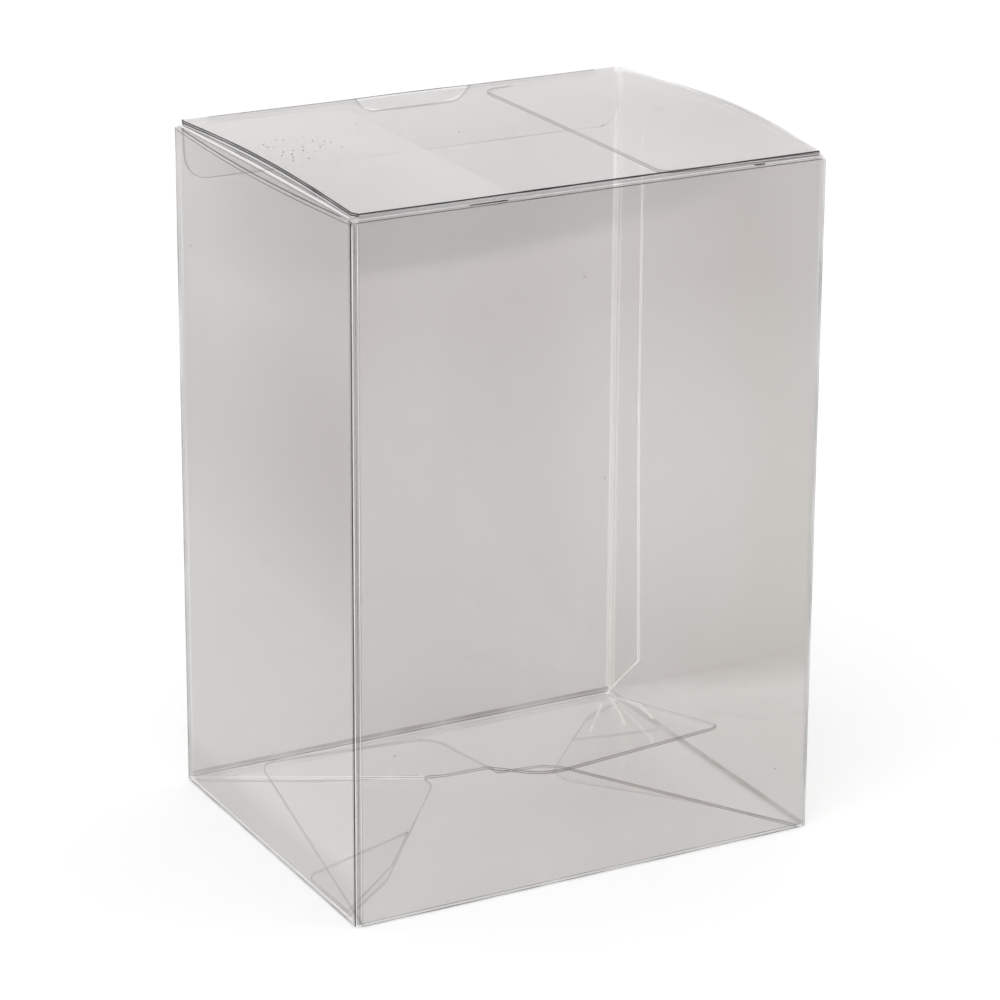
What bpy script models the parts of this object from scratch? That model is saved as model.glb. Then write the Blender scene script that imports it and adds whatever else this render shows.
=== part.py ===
import math

import bmesh
import bpy
from mathutils import Matrix, Vector

# A clear folding box, one die-cut sheet of film. Metres, +Z up, front at -Y.
# Outer size of the folded box
width = 0.116
depth = 0.091
height = 0.162
film = 0.0005

# Creases: radius of the film's middle, and the pressed bead beside each upright crease
crease_radius = 0.0006
crease_steps = 4
corner_radius = 0.0008
bead_gap = 0.0002
bead_width = 0.0006
bead_rise = 0.00012

# Clearances
running_gap = 0.0003
hinge_gap = 0.00035
side_gap = 0.0009

# Lid and its tuck flap
tuck_length = 0.0131
tuck_lean = math.radians(4.7)
tuck_corner = 0.0055
tuck_inset = 0.0011
slit_length = 0.0067
lid_corner = 0.0016

# Dust flaps
dust_length = 0.0395
dust_front_taper = 0.0022
dust_back_taper = 0.0027
dust_corner = 0.0030

# Thumb notch in the top edge of the back wall
notch_width = 0.0300
notch_depth = 0.0035
notch_corner = 0.0050
notch_centre = 0.0023

# Glue flap inside the right wall
glue_low_width = 0.0147
glue_top_width = 0.0103
glue_low_chamfer = 0.0125
glue_low_rise = 0.0115
glue_top_chamfer = 0.0070
glue_top_rise = 0.0050
glue_end = 0.0026

# Main bottom flaps, front and back, each the other turned half round
main_slope = math.radians(10.7)
wing_past = 0.0155
wing_lean = 0.0051
wing_corner = 0.0034
wing_width = 0.0505
wing_end_corner = 0.0075
hook_past = 0.0007
shallow_short = 0.0017
hook_gap = 0.0013
hook_slope = 0.0002
shoulder_step = 0.0011
shoulder_run = 0.0042
nose_step = 0.0030
shallow_end = 0.0424
wing_fold = 0.058
fold_pitch = 1.03
fold_start = 0.0002

# Side bottom flaps, left and right, which lie under the main ones
side_slope = math.radians(8.0)
side_start = 0.0060
side_knee = 0.0150
side_edge = 0.0151
side_pitch = 1.17
nose_reach = 0.0436
nose_radius = 0.0040
side_back_knee = 0.0230
side_back_past = 0.0012
side_back_short = 0.0365

# Tab of each side flap, turned back along its slanting crease
tab_depth = 0.0278
tab_start = 0.0074
tab_reach = 0.0283
tab_bend = 0.0185
tab_edge = 0.0004
tab_corner = 0.0026
tab_sink = 0.00005

# Spring of the film at the top: walls pushed out and the top lifted, most at mid-depth
right_bow = 0.0036
left_bow = 0.0020
bow_start = 0.0600
top_lift = 0.0016
top_start = 0.1400
notch_bulge = 0.0008

# Fineness of the cuts that let the sheet curve
depth_cuts = 14
wall_cuts = 8
width_cuts = 16

half = film / 2
wall_x = width / 2 - half
wall_y = depth / 2 - half
corner_zone = corner_radius + bead_gap + bead_width
lid_level = height - half
dust_level = height - film - running_gap - half
wall_foot = half + crease_radius
side_top = dust_level - crease_radius
lid_end = lid_level - crease_radius
front_top = lid_end - hinge_gap
back_top = height - running_gap
tuck_plane = wall_y - half - running_gap - half
lid_side = width / 2 - side_gap

for old in list(bpy.data.objects):
    bpy.data.objects.remove(old)

scene = bpy.context.scene
product = bpy.data.collections.new("figure_box_protector")
layers = bpy.data.collections.new("glued_layers")
scene.collection.children.link(product)
scene.collection.children.link(layers)
layers.hide_render = True


def spring(point, outward):
    """Where the folded film settles: the side walls bow out and the top lifts."""
    across = math.cos(math.pi / 2 * min(1.0, abs(point.y) / wall_y))
    rise = min(1.0, max(0.0, (point.z - bow_start) / (side_top - bow_start)))
    rise = rise * rise * (3 - 2 * rise)
    reach = min(1.0, max(0.0, 1 - (wall_x - abs(point.x)) / dust_length))
    near_top = min(1.0, max(0.0, (point.z - top_start) / (height - top_start)))
    lift = top_lift * across * near_top * (point.x / wall_x) ** 2
    bow = right_bow if point.x > 0 else left_bow
    push = bow * across * rise * reach * outward
    return Vector((point.x + math.copysign(push, point.x), point.y, point.z + lift))


def arc(centre, radius, start, end, steps):
    """Points of an arc in a plane, both ends included."""
    points = []
    for step in range(steps + 1):
        angle = start + (end - start) * step / steps
        x = centre[0] + radius * math.cos(angle)
        y = centre[1] + radius * math.sin(angle)
        points.append((x, y))
    return points


def rounded(before, corner, after, radius, steps=6):
    """The points that round one corner of an outline."""
    corner = Vector(corner)
    first = (Vector(before) - corner).normalized()
    second = (Vector(after) - corner).normalized()
    opening = first.angle(second)
    reach = radius / math.tan(opening / 2)
    middle = corner + (first + second).normalized() * radius / math.sin(opening / 2)
    start = corner + first * reach - middle
    end = corner + second * reach - middle
    turn = start.angle_signed(end)
    points = []
    for step in range(steps + 1):
        angle = -turn * step / steps
        x = start.x * math.cos(angle) - start.y * math.sin(angle)
        y = start.x * math.sin(angle) + start.y * math.cos(angle)
        points.append((middle.x + x, middle.y + y))
    return points


class Sheet:
    """A folded sheet without thickness, built face by face and then welded."""

    def __init__(self):
        self.mesh = bmesh.new()

    def face(self, points):
        self.mesh.faces.new([self.mesh.verts.new(point) for point in points])

    def strip(self, first, second):
        for index in range(len(first) - 1):
            self.face([first[index], first[index + 1], second[index + 1], second[index]])

    def weld(self):
        bmesh.ops.remove_doubles(self.mesh, verts=self.mesh.verts[:], dist=1e-7)

    def cut(self, point, normal, keep):
        """Splits the faces whose middle passes the test, along one plane."""
        faces = [face for face in self.mesh.faces if keep(face.calc_center_median())]
        edges = {edge for face in faces for edge in face.edges}
        verts = {vert for face in faces for vert in face.verts}
        geometry = list(verts) + list(edges) + faces
        bmesh.ops.bisect_plane(
            self.mesh, geom=geometry, dist=1e-7, plane_co=point, plane_no=normal
        )

    def move(self, rule):
        for vert in self.mesh.verts:
            vert.co = rule(vert.co)

    def finish(self, name):
        bmesh.ops.recalc_face_normals(self.mesh, faces=self.mesh.faces[:])
        bmesh.ops.triangulate(self.mesh, faces=self.mesh.faces[:])
        data = bpy.data.meshes.new(name)
        self.mesh.to_mesh(data)
        self.mesh.free()
        return bpy.data.objects.new(name, data)


def half_turn(points):
    return [(-x, -y, z) for x, y, z in points]


def sleeve_path():
    """The upright walls in plan, anticlockwise, with the flat runs kept apart."""
    corners = [(wall_x, -wall_y), (wall_x, wall_y), (-wall_x, wall_y), (-wall_x, -wall_y)]
    headings = [Vector((1, 0)), Vector((0, 1)), Vector((-1, 0)), Vector((0, -1))]
    turns = []
    for index, corner in enumerate(corners):
        corner = Vector(corner)
        ahead = headings[index]
        after = headings[(index + 1) % 4]
        bead = corner_radius + bead_gap + bead_width / 2
        run = corner_radius + bead_gap
        middle = corner - ahead * corner_radius + after * corner_radius
        points = [corner - ahead * corner_zone]
        points.append(corner - ahead * bead - after * bead_rise)
        points.append(corner - ahead * run)
        for step in range(crease_steps + 1):
            angle = math.pi / 2 * step / crease_steps
            out = ahead * math.sin(angle) - after * math.cos(angle)
            points.append(middle + out * corner_radius)
        points.append(corner + after * run)
        points.append(corner + after * bead + ahead * bead_rise)
        points.append(corner + after * corner_zone)
        turns.append(points)
    return turns


def main_flap():
    """Front bottom flap in plan, from its crease at the left round to the right."""
    foot = -wall_y + crease_radius * (1 + math.sin(main_slope))
    left = -wall_x + corner_zone
    right = wall_x - corner_zone
    tip = (-width / 2 + wing_lean, wing_past)
    wing_end = (-width / 2 + wing_width, wing_past)
    hook = (-hook_gap / 2, hook_past)
    notch = (hook_gap / 2 - hook_slope, -shallow_short)
    nose = (width / 2 - shallow_end, -shallow_short - nose_step)
    shoulder = (nose[0] - shoulder_run, -shallow_short - shoulder_step)
    outline = [(left, foot)]
    outline += rounded((left, foot), tip, wing_end, wing_corner)
    outline += rounded(tip, wing_end, hook, wing_end_corner)
    outline += [hook, notch, shoulder, nose, (right, foot)]
    return outline


def main_height(x, y):
    """Height of the front bottom flap's middle, with the wing folded up a little more."""
    foot = -wall_y + crease_radius * (1 + math.sin(main_slope))
    start = wall_foot - crease_radius * math.cos(main_slope)
    beyond = (y + depth / 2) - fold_pitch * (x + width / 2) - fold_start
    return start + (y - foot) * math.tan(main_slope) + wing_fold * max(0.0, beyond)


def slanting_crease(reach):
    """How far back the left flap's slanting crease is, at a reach in from the left side."""
    return side_edge + side_pitch * (reach - side_knee)


def side_flap():
    """Left bottom flap in plan: a triangle with a rounded nose near the middle."""
    foot = -wall_x + crease_radius * (1 + math.sin(side_slope))
    start = -depth / 2 + side_start
    end = wall_y - corner_zone
    left = -width / 2
    front = -depth / 2
    diagonal = (left + nose_reach, front + slanting_crease(nose_reach))
    bend = (left + side_knee, front + side_edge)
    knee = (left + side_back_knee, depth / 2 + side_back_past - side_back_knee)
    back = (left + nose_reach, depth / 2 - side_back_short)
    outline = [(foot, end), knee]
    outline += rounded(knee, back, diagonal, nose_radius, 5)
    outline += rounded(back, diagonal, bend, nose_radius, 5)
    outline += [bend, (foot, start)]
    return outline


def side_height(x):
    foot = -wall_x + crease_radius * (1 + math.sin(side_slope))
    start = wall_foot - crease_radius * math.cos(side_slope)
    return start + (x - foot) * math.tan(side_slope)


def notch_outline():
    """Top edge of the back wall in x and z, from right to left."""
    low = back_top - notch_depth
    right = (notch_centre + notch_width / 2, back_top)
    left = (notch_centre - notch_width / 2, back_top)
    deep_right = (right[0] - 0.8 * notch_depth, low)
    deep_left = (left[0] + 0.8 * notch_depth, low)
    points = [right]
    points += rounded(right, deep_right, deep_left, notch_corner)
    points += rounded(deep_right, deep_left, left, notch_corner)
    return points + [left]


def build_box():
    sheet = Sheet()
    turns = sleeve_path()
    for points in turns:
        low = [(p.x, p.y, wall_foot) for p in points]
        high = [(p.x, p.y, side_top) for p in points]
        sheet.strip(low, high)
    flat_x = wall_x - corner_zone
    flat_y = wall_y - corner_zone
    start_y = -depth / 2 + side_start

    front = [(-flat_x, wall_foot), (flat_x, wall_foot)]
    front += [(flat_x, front_top), (-flat_x, front_top)]
    sheet.face([(x, -wall_y, z) for x, z in front])
    back = [(-flat_x, wall_foot), (flat_x, wall_foot), (flat_x, back_top)]
    back += notch_outline() + [(-flat_x, back_top)]
    sheet.face([(x, wall_y, z) for x, z in back])
    side = [(flat_y, wall_foot), (start_y, wall_foot), (-flat_y, wall_foot)]
    side += [(-flat_y, side_top), (flat_y, side_top)]
    left_wall = [(-wall_x, y, z) for y, z in side]
    sheet.face(left_wall)
    sheet.face(half_turn(left_wall))

    # Bottom creases: the wall turns under and rises again into its flap
    round_main = arc(
        (crease_radius, wall_foot), crease_radius, math.pi, 1.5 * math.pi + main_slope, crease_steps
    )
    for (n0, z0), (n1, z1) in zip(round_main, round_main[1:]):
        quad = [(-flat_x, n0 - wall_y, z0), (flat_x, n0 - wall_y, z0)]
        quad += [(flat_x, n1 - wall_y, z1), (-flat_x, n1 - wall_y, z1)]
        sheet.face(quad)
        sheet.face(half_turn(quad))
    round_side = arc(
        (crease_radius, wall_foot), crease_radius, math.pi, 1.5 * math.pi + side_slope, crease_steps
    )
    for (n0, z0), (n1, z1) in zip(round_side, round_side[1:]):
        quad = [(n0 - wall_x, start_y, z0), (n0 - wall_x, flat_y, z0)]
        quad += [(n1 - wall_x, flat_y, z1), (n1 - wall_x, start_y, z1)]
        sheet.face(quad)
        sheet.face(half_turn(quad))

    # Bottom flaps, cut along the wing's fold before they are raised
    fold = (-width / 2, -depth / 2 + fold_start, 0)
    across_fold = (fold_pitch, -1, 0)
    flaps = Sheet()
    flaps.face([(x, y, 0) for x, y in main_flap()])
    flaps.cut(fold, across_fold, lambda middle: True)
    flaps.move(lambda p: Vector((p.x, p.y, main_height(p.x, p.y))))
    for face in flaps.mesh.faces:
        points = [tuple(vert.co) for vert in face.verts]
        sheet.face(points)
        sheet.face(half_turn(points))
    flaps.mesh.free()
    side_points = [(x, y, side_height(x)) for x, y in side_flap()]
    sheet.face(side_points)
    sheet.face(half_turn(side_points))

    # Dust flaps on the side walls
    round_top = arc((crease_radius, side_top), crease_radius, math.pi, math.pi / 2, crease_steps)
    hinge = crease_radius - wall_x
    free = dust_length - width / 2
    flap = [(hinge, flat_y)]
    front_corner = (free, -flat_y + dust_front_taper)
    back_corner = (free, flat_y - dust_back_taper)
    flap += rounded((hinge, flat_y), back_corner, front_corner, dust_corner)
    flap += rounded(back_corner, front_corner, (hinge, -flat_y), dust_corner)
    flap += [(hinge, -flat_y)]
    for sign in (1, -1):
        for (n0, z0), (n1, z1) in zip(round_top, round_top[1:]):
            quad = [(n0 - wall_x, -flat_y, z0), (n0 - wall_x, flat_y, z0)]
            quad += [(n1 - wall_x, flat_y, z1), (n1 - wall_x, -flat_y, z1)]
            sheet.face([(sign * x, y, z) for x, y, z in quad])
        sheet.face([(sign * x, y, dust_level) for x, y in flap])
    sheet.weld()

    # Cuts that let the top of the walls and the dust flaps curve
    sheet.cut((0, 0, side_top), (0, 0, 1), lambda middle: middle.z > bow_start)
    for step in range(wall_cuts):
        level = bow_start + (side_top - bow_start) * step / wall_cuts
        sheet.cut((0, 0, level), (0, 0, 1), lambda middle: middle.z > wall_foot + half)
    for step in range(1, depth_cuts):
        across = -flat_y + 2 * flat_y * step / depth_cuts
        sheet.cut((0, across, 0), (0, 1, 0), lambda middle: middle.z > bow_start - film)
    for step in range(1, 5):
        along = wall_x - dust_length * step / 5
        for sign in (1, -1):
            sheet.cut((sign * along, 0, 0), (1, 0, 0), lambda m: m.z > dust_level - half)
    sheet.weld()
    sheet.move(lambda point: spring(point, 1.0))
    return sheet.finish("box")


def layer(name, outline, to_point, bend):
    """A glued layer: a flat outline given the film's thickness, then placed."""
    mesh = bmesh.new()
    face = mesh.faces.new([mesh.verts.new((x, y, -half)) for x, y in outline])
    raised = bmesh.ops.extrude_face_region(mesh, geom=[face])["geom"]
    for vert in [item for item in raised if isinstance(item, bmesh.types.BMVert)]:
        vert.co.z += film
    if bend:
        for step in range(1, wall_cuts * 2):
            level = bow_start + (side_top - bow_start) * step / (wall_cuts * 2)
            geometry = mesh.verts[:] + mesh.edges[:] + mesh.faces[:]
            bmesh.ops.bisect_plane(
                mesh, geom=geometry, dist=1e-7, plane_co=(0, level, 0), plane_no=(0, 1, 0)
            )
    for vert in mesh.verts:
        vert.co = to_point(vert.co)
    bmesh.ops.recalc_face_normals(mesh, faces=mesh.faces[:])
    bmesh.ops.triangulate(mesh, faces=mesh.faces[:])
    data = bpy.data.meshes.new(name)
    mesh.to_mesh(data)
    mesh.free()
    piece = bpy.data.objects.new(name, data)
    piece.hide_render = True
    piece.display_type = "WIRE"
    layers.objects.link(piece)
    return piece


def glue_layer():
    """Glue flap in y and z, against the inside of the right wall."""
    inner = wall_y - half - 0.4 * crease_radius
    low = depth / 2 - glue_low_width
    high = depth / 2 - glue_top_width
    top = side_top - glue_end
    outline = [(inner, glue_end), (low + glue_low_chamfer, glue_end), (low, glue_end + glue_low_rise)]
    outline += [(high, top - glue_top_rise), (high + glue_top_chamfer, top), (inner, top)]
    plane = wall_x - film + tab_sink

    def place(point):
        return spring(Vector((plane + point.z, point.x, point.y)), 1.0)

    return layer("glue_flap", outline, place, True)


def tab_layer(name, sign):
    """Tab of the side flap, lying on it where it was turned back."""
    left = -width / 2 + 2.4 * crease_radius
    front = -depth / 2
    low = (left, front + tab_start)
    high = (left, front + tab_depth)
    tip = (-width / 2 + tab_reach, front + slanting_crease(tab_reach) + tab_edge)
    bend = (-width / 2 + tab_bend, front + slanting_crease(tab_bend) + tab_edge)
    outline = [low] + rounded(low, high, tip, tab_corner) + [tip, bend]
    lift = film - tab_sink

    def place(point):
        z = side_height(point.x) + lift + point.z
        return Vector((sign * point.x, sign * point.y, z))

    return layer(name, outline, place, False)


def build_lid():
    sheet = Sheet()
    flat_x = wall_x - corner_zone
    curl = arc((crease_radius, lid_end), crease_radius, math.pi, math.pi / 2, crease_steps)
    for (n0, z0), (n1, z1) in zip(curl, curl[1:]):
        quad = [(-flat_x, n0 - wall_y, z0), (flat_x, n0 - wall_y, z0)]
        quad += [(flat_x, n1 - wall_y, z1), (-flat_x, n1 - wall_y, z1)]
        sheet.face(quad)
    hinge = crease_radius - wall_y
    rear = tuck_plane - crease_radius
    slit = lid_side - slit_length
    outline = [(-flat_x, hinge), (flat_x, hinge)]
    outline += rounded((flat_x, hinge), (lid_side, hinge + lid_corner), (lid_side, rear), 0.001, 3)
    outline += rounded((lid_side, hinge), (lid_side, rear), (slit, rear), 0.001, 3)
    outline += [(slit, rear), (-slit, rear)]
    outline += rounded((-slit, rear), (-lid_side, rear), (-lid_side, hinge), 0.001, 3)
    outline += rounded((-lid_side, rear), (-lid_side, hinge + lid_corner), (-flat_x, hinge), 0.001, 3)
    sheet.face([(x, y, lid_level) for x, y in outline])
    turn = arc((rear, lid_end), crease_radius, math.pi / 2, -tuck_lean, crease_steps)
    for (y0, z0), (y1, z1) in zip(turn, turn[1:]):
        sheet.face([(-slit, y0, z0), (slit, y0, z0), (slit, y1, z1), (-slit, y1, z1)])
    top_y, top_z = turn[-1]
    side = width / 2 - film - tuck_inset
    low_right = (side, tuck_length)
    low_left = (-side, tuck_length)
    tuck = [(-slit, 0), (slit, 0)]
    tuck += rounded((slit, 0), (side, 0), low_right, 0.0012, 3)
    tuck += rounded((side, 0), low_right, low_left, tuck_corner, 8)
    tuck += rounded(low_right, low_left, (-side, 0), tuck_corner, 8)
    tuck += rounded(low_left, (-side, 0), (-slit, 0), 0.0012, 3)
    down = Vector((0, -math.sin(tuck_lean), -math.cos(tuck_lean)))
    start = Vector((0, top_y, top_z))
    sheet.face([start + down * s + Vector((x, 0, 0)) for x, s in tuck])
    sheet.weld()

    for step in range(1, depth_cuts):
        across = -wall_y + 2 * wall_y * step / depth_cuts
        sheet.cut((0, across, 0), (0, 1, 0), lambda middle: middle.z > dust_level)
    for step in range(1, width_cuts):
        along = -lid_side + 2 * lid_side * step / width_cuts
        sheet.cut((along, 0, 0), (1, 0, 0), lambda middle: True)
    notch_low = back_top - notch_depth
    sheet.cut((0, 0, notch_low), (0, 0, 1), lambda middle: middle.z < lid_end)
    sheet.weld()

    def settle(point):
        moved = spring(point, 0.0)
        near = max(0.0, 1 - ((point.x - notch_centre) / (notch_width / 2 - notch_depth)) ** 2)
        high = min(1.0, max(0.0, (point.z - notch_low) / notch_depth))
        back = min(1.0, max(0.0, (point.y - wall_y / 2) / (wall_y / 2)))
        moved.y += notch_bulge * near * high * back
        return moved

    sheet.move(settle)
    return sheet.finish("lid")


def clear_film(name, tint):
    material = bpy.data.materials.new(name)
    material.use_nodes = True
    shader = material.node_tree.nodes["Principled BSDF"]
    shader.inputs["Base Color"].default_value = (*tint, 1)
    shader.inputs["Roughness"].default_value = 0.06
    shader.inputs["IOR"].default_value = 1.57
    shader.inputs["Transmission Weight"].default_value = 1.0
    return material


def thicken(thing):
    solid = thing.modifiers.new("film", "SOLIDIFY")
    solid.thickness = film
    solid.offset = 0
    solid.use_even_offset = True
    solid.use_rim = True


box = build_box()
lid = build_lid()
glue_layer()
tab_layer("left_tab", 1)
tab_layer("right_tab", -1)
for thing, tint in ((box, (0.93, 0.94, 0.94)), (lid, (0.94, 0.94, 0.93))):
    product.objects.link(thing)
    thicken(thing)
    thing.data.materials.append(clear_film(thing.name + "_film", tint))

union = box.modifiers.new("glued layers", "BOOLEAN")
union.operation = "UNION"
union.solver = "EXACT"
union.operand_type = "COLLECTION"
union.collection = layers
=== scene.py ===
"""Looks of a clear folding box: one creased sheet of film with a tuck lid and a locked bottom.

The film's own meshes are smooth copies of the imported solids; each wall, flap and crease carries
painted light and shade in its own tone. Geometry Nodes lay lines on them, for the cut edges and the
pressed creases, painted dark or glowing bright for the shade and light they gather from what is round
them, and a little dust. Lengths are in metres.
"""

import math

import bmesh
import bpy
from mathutils import Matrix, Vector
from mathutils.bvhtree import BVHTree


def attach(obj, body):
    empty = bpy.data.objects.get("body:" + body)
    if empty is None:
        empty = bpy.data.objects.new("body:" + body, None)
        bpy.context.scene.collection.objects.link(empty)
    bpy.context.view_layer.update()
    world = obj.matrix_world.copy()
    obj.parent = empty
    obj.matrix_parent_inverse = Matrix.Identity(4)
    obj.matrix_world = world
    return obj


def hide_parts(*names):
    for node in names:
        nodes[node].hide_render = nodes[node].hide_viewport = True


MM = 0.001

# The sheet as packed
HALF_WIDTH = 58.0 * MM
HALF_DEPTH = 45.5 * MM
HEIGHT = 162.0 * MM
CREASE_ZONE = 1.6 * MM
BOTTOM_CREASE_TOP = 1.3 * MM
BOTTOM_TOP = 20.0 * MM
WALL_TOP = 160.2 * MM
LEFT, RIGHT, FRONT, BACK = -HALF_WIDTH, HALF_WIDTH, -HALF_DEPTH, HALF_DEPTH

# Above this height the glue flap and the far corner lie behind the lid's film, so their painted highlights
# are drawn dimmer
BEHIND_LID = WALL_TOP - 27.0 * MM

# Faces further in from the outside than this belong to a flap, not to a wall
INSIDE_WALLS = 1.2 * MM

# Dust flaps and their rims start this far below the wall's top
DUST_FLAP_ZONE = 4.0 * MM

# Points of a solid closer than this are one; edges of lines are welded a little further apart
WELD = 1e-7
LINE_WELD = 1e-6

# Angles between faces: past the first the shading breaks, past the second it is a cut edge
SHADING_BREAK = math.radians(32)
CUT_EDGE = math.radians(50)

# A face whose normal leans no more than this from an axis counts as square to it
SQUARE = 0.8

# Share of light that a sheet sends back like a mirror, seen square on, and what a glancing view adds
STRAIGHT_GLOSS = 0.06
GLANCING_GLOSS = 0.85

# How the film takes light: roughness of the veil and of the mirror, and the sheet's slow waves
VEIL_ROUGHNESS = 0.3
MIRROR_ROUGHNESS = 0.04
WAVE_STRENGTH = 0.25
WAVE_DEPTH = 1.0 * MM

# Radii of the lines that stand for cut edges and pressed creases
BOLD_LINE = 0.16 * MM
PLAIN_LINE = 0.11 * MM
THIN_LINE = 0.07 * MM
CUT_EDGE_VARIATION = 0.9


def srgb(red, green, blue):
    """A colour picked as screen values from 0 to 255, made linear."""
    values = []
    for part in (red, green, blue):
        share = part / 255
        values.append(share / 12.92 if share <= 0.04045 else ((share + 0.055) / 1.055) ** 2.4)
    return (*values, 1.0)


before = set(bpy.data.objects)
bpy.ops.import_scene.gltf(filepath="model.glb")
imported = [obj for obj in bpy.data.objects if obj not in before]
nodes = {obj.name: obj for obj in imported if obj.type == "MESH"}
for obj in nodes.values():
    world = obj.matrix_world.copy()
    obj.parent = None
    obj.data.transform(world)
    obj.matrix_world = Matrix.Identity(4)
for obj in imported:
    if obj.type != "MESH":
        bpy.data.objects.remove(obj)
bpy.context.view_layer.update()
scene = bpy.context.scene

BODIES = {"box": "box_body", "lid": "lid_body"}


# Shader helpers


class Tree:
    """A node tree with a short way to add nodes and links."""

    def __init__(self, tree):
        self.tree = tree

    def add(self, kind, inputs=None, **settings):
        node = self.tree.nodes.new(kind)
        for name, value in settings.items():
            setattr(node, name, value)
        for key, value in (inputs or {}).items():
            if isinstance(value, bpy.types.NodeSocket):
                self.tree.links.new(value, node.inputs[key])
            else:
                node.inputs[key].default_value = value
        return node

    def math(self, operation, first, second=0.0, clamp=False):
        node = self.add("ShaderNodeMath", {0: first, 1: second}, operation=operation)
        node.use_clamp = clamp
        return node.outputs[0]

    def link(self, first, second):
        self.tree.links.new(first, second)


def new_group(name, inputs, outputs):
    group = bpy.data.node_groups.new(name, "ShaderNodeTree")
    for label, kind, value in inputs:
        socket = group.interface.new_socket(label, in_out="INPUT", socket_type=kind)
        if value is not None:
            socket.default_value = value
    for label, kind in outputs:
        group.interface.new_socket(label, in_out="OUTPUT", socket_type=kind)
    tree = Tree(group)
    return group, tree, tree.add("NodeGroupInput"), tree.add("NodeGroupOutput")


FLOAT, VECTOR = "NodeSocketFloat", "NodeSocketVector"


def build_haze():
    """Uneven cover of the film: soft clouds, with painted reflection tones of its own at the foot and the
    waist.
    """
    group, tree, given, made = new_group(
        "film haze",
        [
            ("Position", VECTOR, None),
            ("Size", FLOAT, 14.0),
            ("Low", FLOAT, 0.25),
            ("High", FLOAT, 0.35),
            ("Foot Height", FLOAT, 0.05),
            ("Foot Share", FLOAT, 1.0),
            ("Waist Dip", FLOAT, 0.0),
            ("Waist Height", FLOAT, 0.47 * HEIGHT),
            ("Waist Reach", FLOAT, 0.38 * HEIGHT),
        ],
        [("Cover", FLOAT), ("Cloud", FLOAT)],
    )
    stretch = tree.add("ShaderNodeMapping", {"Vector": given.outputs["Position"], "Scale": (1.0, 1.0, 0.6)})
    clouds = tree.add(
        "ShaderNodeTexNoise", {"Vector": stretch.outputs[0], "Scale": given.outputs["Size"], "Detail": 1.5}
    )
    cloud = tree.add(
        "ShaderNodeMapRange",
        {"Value": clouds.outputs[0], "From Min": 0.34, "From Max": 0.68},
        interpolation_type="SMOOTHSTEP",
    )
    span = tree.math("SUBTRACT", given.outputs["High"], given.outputs["Low"])
    cover = tree.math("ADD", tree.math("MULTIPLY", cloud.outputs[0], span), given.outputs["Low"])
    height = tree.add("ShaderNodeSeparateXYZ", {0: given.outputs["Position"]}).outputs["Z"]
    # Painted reflection tones: the cover is changed near the foot and across the waist
    foot = tree.add(
        "ShaderNodeMapRange",
        {
            "Value": height,
            "From Min": 0.0,
            "From Max": given.outputs["Foot Height"],
            "To Min": given.outputs["Foot Share"],
            "To Max": 1.0,
        },
        interpolation_type="SMOOTHSTEP",
    )
    off_waist = tree.math("SUBTRACT", height, given.outputs["Waist Height"])
    off_waist = tree.math("DIVIDE", off_waist, given.outputs["Waist Reach"])
    waist = tree.math("SUBTRACT", 1.0, tree.math("MULTIPLY", off_waist, off_waist), clamp=True)
    waist = tree.math("SUBTRACT", 1.0, tree.math("MULTIPLY", waist, given.outputs["Waist Dip"]))
    cover = tree.math("MULTIPLY", tree.math("MULTIPLY", cover, foot.outputs[0]), waist)
    tree.link(cover, made.inputs["Cover"])
    tree.link(cloud.outputs[0], made.inputs["Cloud"])
    return group


def build_band():
    """A painted shade, standing for a dark reflection, that hangs below a wall's top edge, deep at one end
    and gone at the other.
    """
    group, tree, given, made = new_group(
        "shade below the lid",
        [
            ("Position", VECTOR, None),
            ("Start", FLOAT, -53.0 * MM),
            ("Reach", FLOAT, 94.0 * MM),
            ("Top", FLOAT, HEIGHT),
            ("Depth", FLOAT, 13.7 * MM),
            ("Core", FLOAT, 0.66),
            ("Rim", FLOAT, 1.14),
            ("Strength", FLOAT, 0.0),
        ],
        [("Shade", FLOAT)],
    )
    place = tree.add("ShaderNodeSeparateXYZ", {0: given.outputs["Position"]})
    along = tree.math("SUBTRACT", place.outputs["X"], given.outputs["Start"])
    along = tree.math("DIVIDE", along, given.outputs["Reach"])
    along = tree.math("MULTIPLY", along, along)
    down = tree.math("SUBTRACT", given.outputs["Top"], place.outputs["Z"])
    down = tree.math("DIVIDE", down, given.outputs["Depth"])
    down = tree.math("MULTIPLY", down, down)
    reach = tree.math("ADD", along, down)
    inside = tree.add(
        "ShaderNodeMapRange",
        {
            "Value": reach,
            "From Min": given.outputs["Core"],
            "From Max": given.outputs["Rim"],
            "To Min": 1.0,
            "To Max": 0.0,
        },
        interpolation_type="SMOOTHSTEP",
    )
    tree.link(tree.math("MULTIPLY", inside.outputs[0], given.outputs["Strength"]), made.inputs["Shade"])
    return group


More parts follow.
